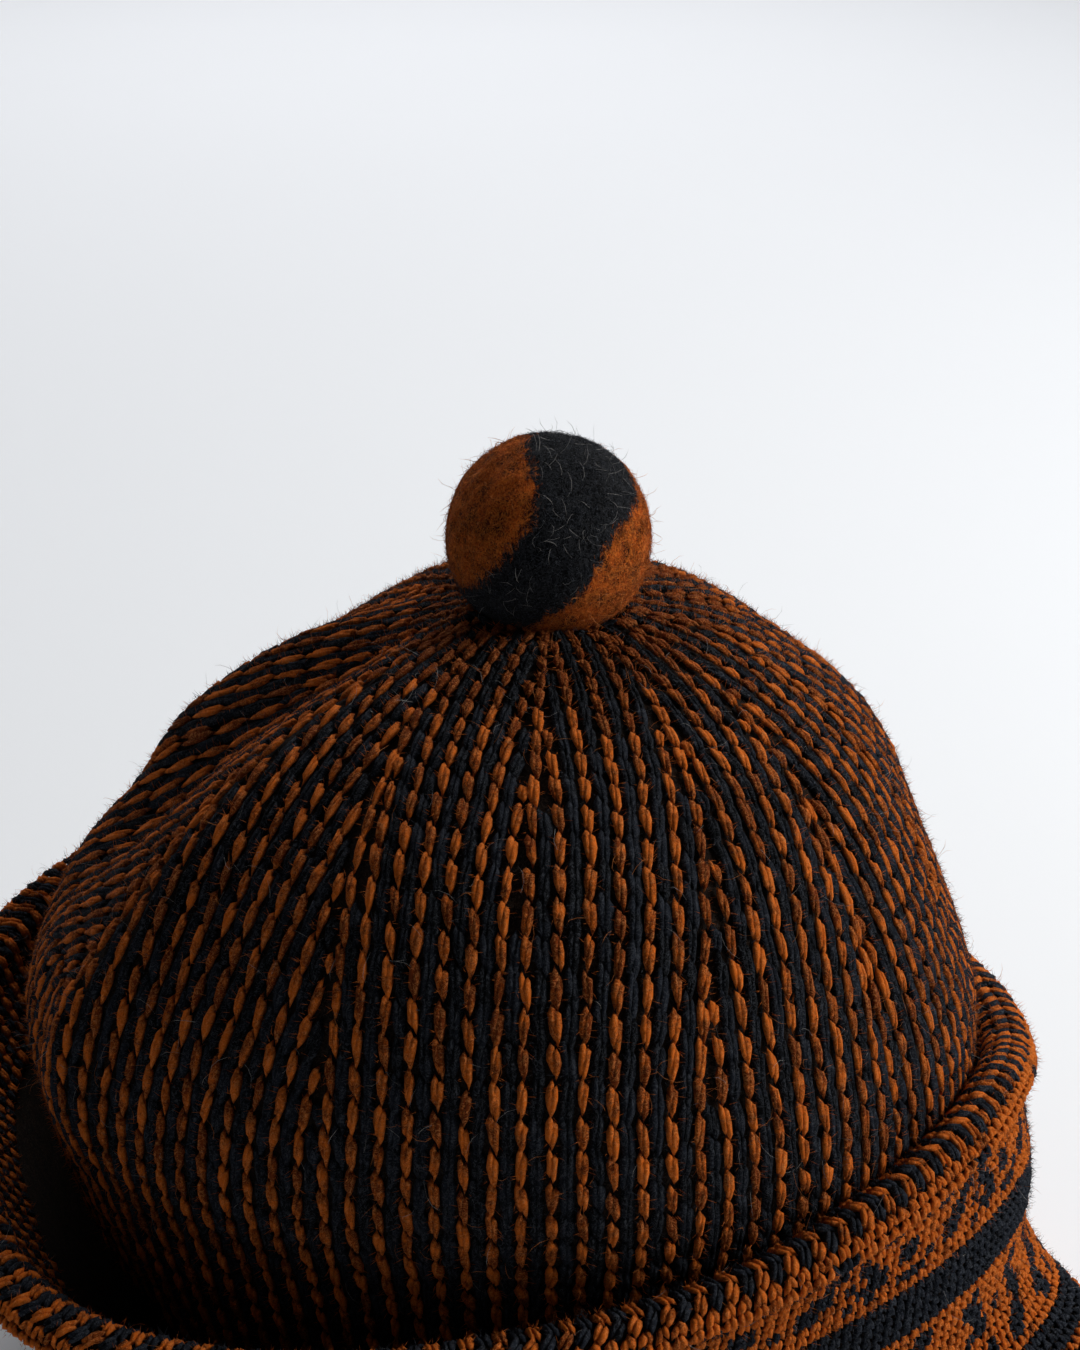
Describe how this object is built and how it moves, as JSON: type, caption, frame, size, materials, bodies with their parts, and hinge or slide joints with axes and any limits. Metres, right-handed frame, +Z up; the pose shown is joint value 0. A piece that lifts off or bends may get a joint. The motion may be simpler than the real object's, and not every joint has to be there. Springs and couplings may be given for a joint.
{
  "type": "knit cap",
  "caption": "Puffed knit cap with a wide turned-up patterned cuff, splayed at one side, and a felted ball on its apex; hollow and open below.",
  "frame": {"origin": "centre of the cap's plan, on the surface it stands on", "axes": "+Z up from the open base to the ball, +X to the right and -Y towards the viewer, seen from the front"},
  "size_m": [0.2408, 0.2084, 0.1891],
  "materials": {
    "crown_wool": "two-colour wool knit, matt and fuzzy",
    "cuff_wool": "two-colour wool knit, matt and fuzzy",
    "pompom_felt": "felted wool, matt"
  },
  "bodies": {
    "root": {"crown": "crown_wool", "cuff": "cuff_wool", "pompom": "pompom_felt"}
  },
  "joints": []
}
